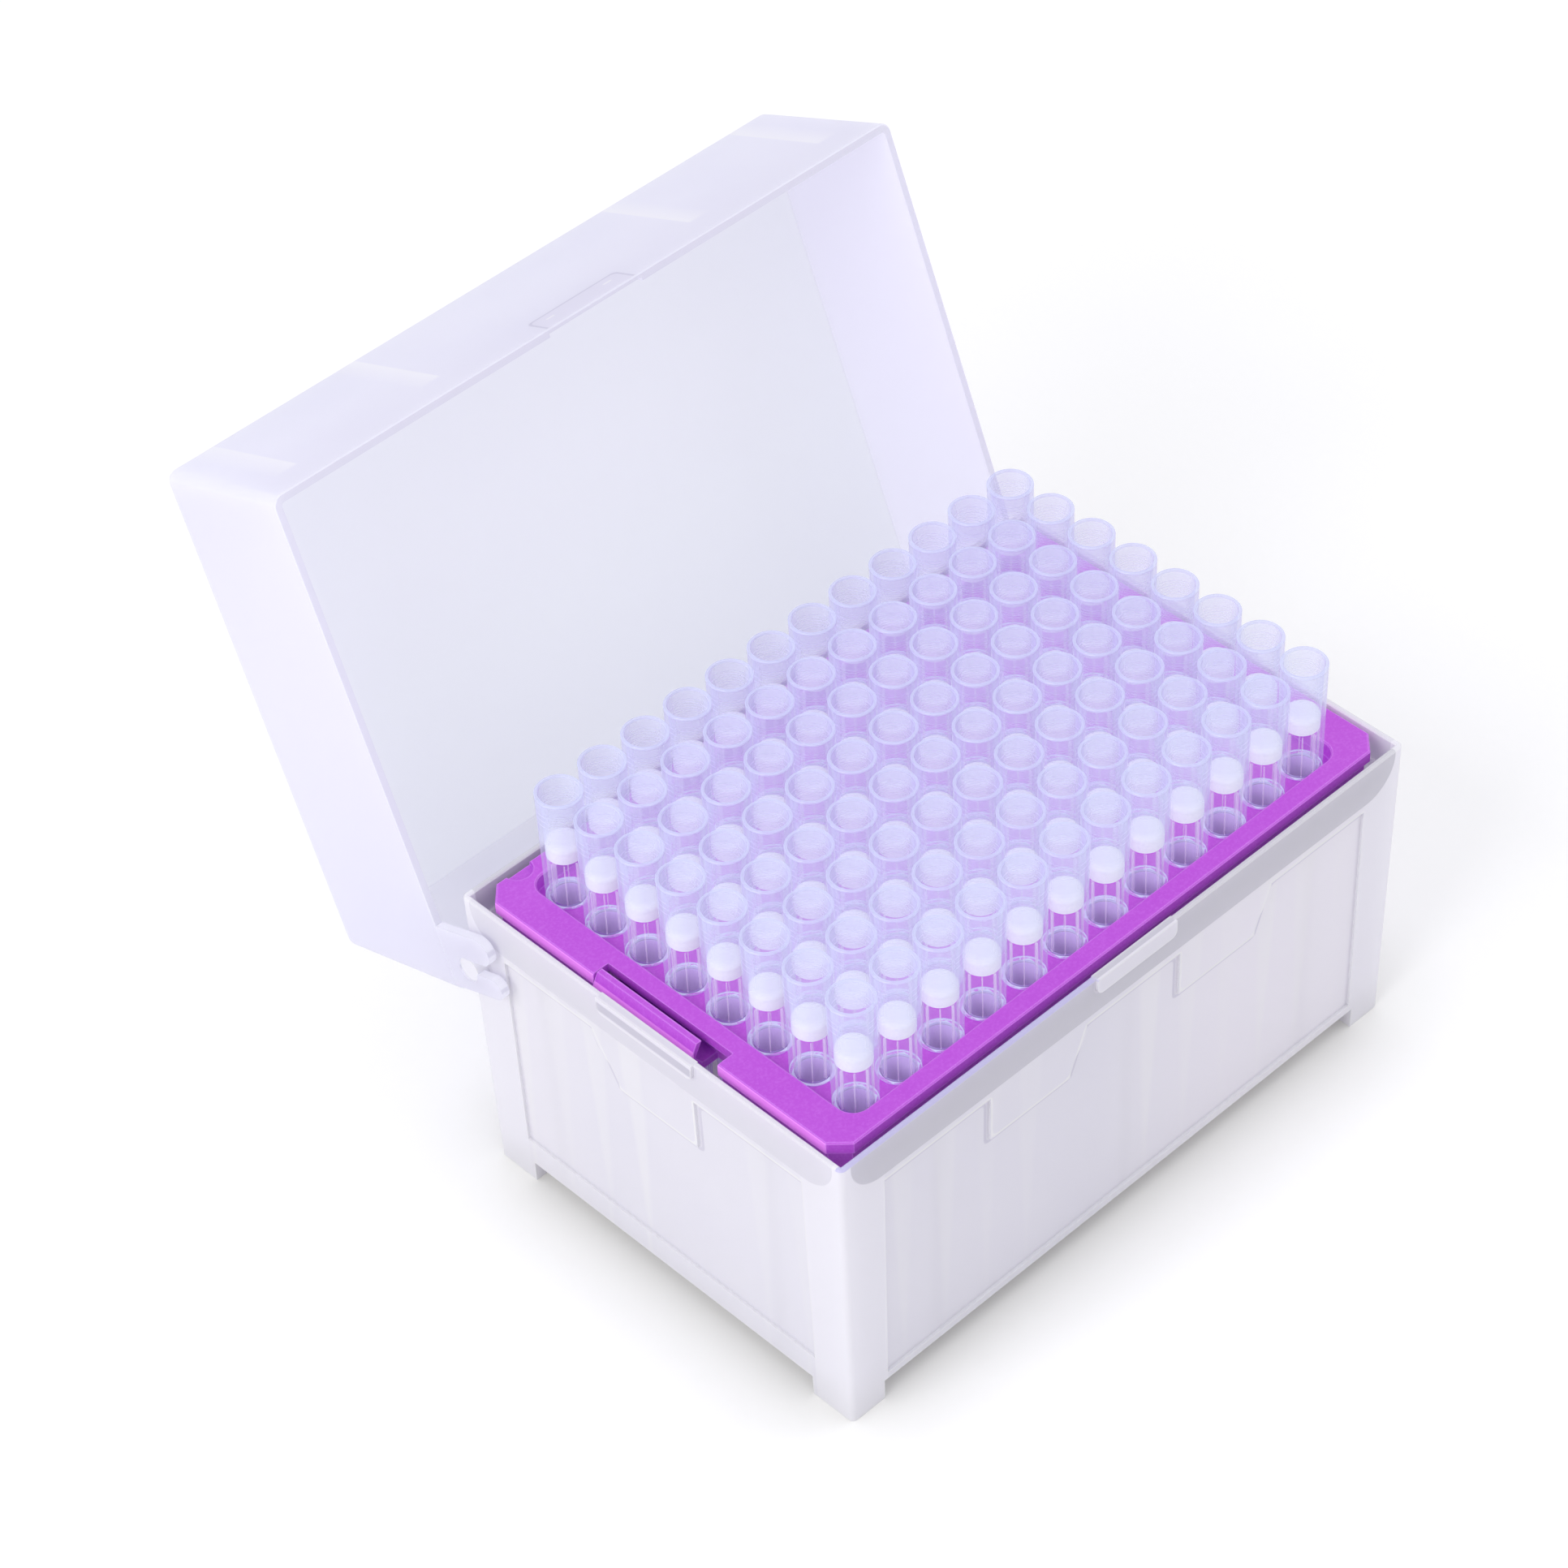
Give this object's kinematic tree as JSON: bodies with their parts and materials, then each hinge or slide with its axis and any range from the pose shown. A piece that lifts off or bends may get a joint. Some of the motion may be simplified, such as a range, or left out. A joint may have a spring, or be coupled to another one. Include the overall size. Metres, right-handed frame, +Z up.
{
  "type": "box of pipette tips",
  "caption": "Hinged translucent box that stands on four feet and holds filtered pipette tips upright in a perforated rack, with its lid open against the back.",
  "frame": {"origin": "centre of the base's footprint, on the plane under its four feet", "axes": "+X along the 12 columns of tips and the hinge line, +Y from the latch side to the hinge side, +Z up"},
  "size_m": [0.1302, 0.1442, 0.1221],
  "materials": {
    "frosted_box": "natural polypropylene, finely frosted, with a polished band at the rim",
    "purple_rack": "purple polypropylene, satin moulded",
    "clear_tips": "clear natural polypropylene, glossy",
    "white_filters": "white sintered polyethylene"
  },
  "bodies": {
    "base": {"base_box": "frosted_box", "tip_rack": "purple_rack", "tips_column_01": "clear_tips", "tips_column_02": "clear_tips", "tips_column_03": "clear_tips", "tips_column_04": "clear_tips", "tips_column_05": "clear_tips", "tips_column_06": "clear_tips", "tips_column_07": "clear_tips", "tips_column_08": "clear_tips", "tips_column_09": "clear_tips", "tips_column_10": "clear_tips", "tips_column_11": "clear_tips", "tips_column_12": "clear_tips", "filters_column_01": "white_filters", "filters_column_02": "white_filters", "filters_column_03": "white_filters", "filters_column_04": "white_filters", "filters_column_05": "white_filters", "filters_column_06": "white_filters", "filters_column_07": "white_filters", "filters_column_08": "white_filters", "filters_column_09": "white_filters", "filters_column_10": "white_filters", "filters_column_11": "white_filters", "filters_column_12": "white_filters"},
    "lid": {"lid": "frosted_box"}
  },
  "joints": [
    {"name": "lid_hinge", "type": "hinge", "parent": "base", "child": "lid", "pos_m": [0, 0.0389, 0.0464], "axis": [1, 0, 0], "range_deg": [0, 111]}
  ]
}
